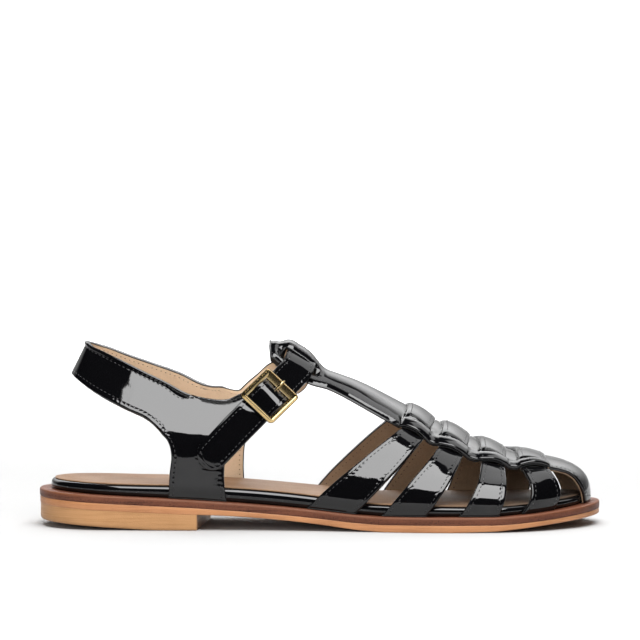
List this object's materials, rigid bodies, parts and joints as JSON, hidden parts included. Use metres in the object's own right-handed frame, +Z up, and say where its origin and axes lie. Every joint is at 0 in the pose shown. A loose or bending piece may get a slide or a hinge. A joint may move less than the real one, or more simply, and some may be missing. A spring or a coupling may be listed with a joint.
{
  "type": "fisherman sandal",
  "caption": "Right-foot fisherman sandal: woven closed toe, T-bar, quarters with heel sling, buckled ankle strap, wrapped footbed, welt, leather sole and low heel.",
  "frame": {"origin": "on the floor under the middle of the sandal's bounding box", "axes": "+X from heel to toe, +Y to the inner (big toe) side, -Y to the outer side with the buckle, +Z up"},
  "size_m": [0.254, 0.0852, 0.0843],
  "materials": {
    "sole_leather": "smooth tan leather edge, satin",
    "heel_leather": "pale tan leather edge, satin",
    "welt_leather": "red-brown leather, satin",
    "patent_leather": "black patent leather, mirror gloss",
    "sock_leather": "bare tan lining leather, matt",
    "gilt_metal": "polished light gold"
  },
  "bodies": {
    "root": {"outsole": "sole_leather", "heel_block": "heel_leather", "welt": "welt_leather", "footbed": "patent_leather", "insole": "sock_leather", "upper": "patent_leather", "quarter_strap": "patent_leather", "buckle_frame": "gilt_metal", "buckle_prong": "gilt_metal"}
  },
  "joints": []
}
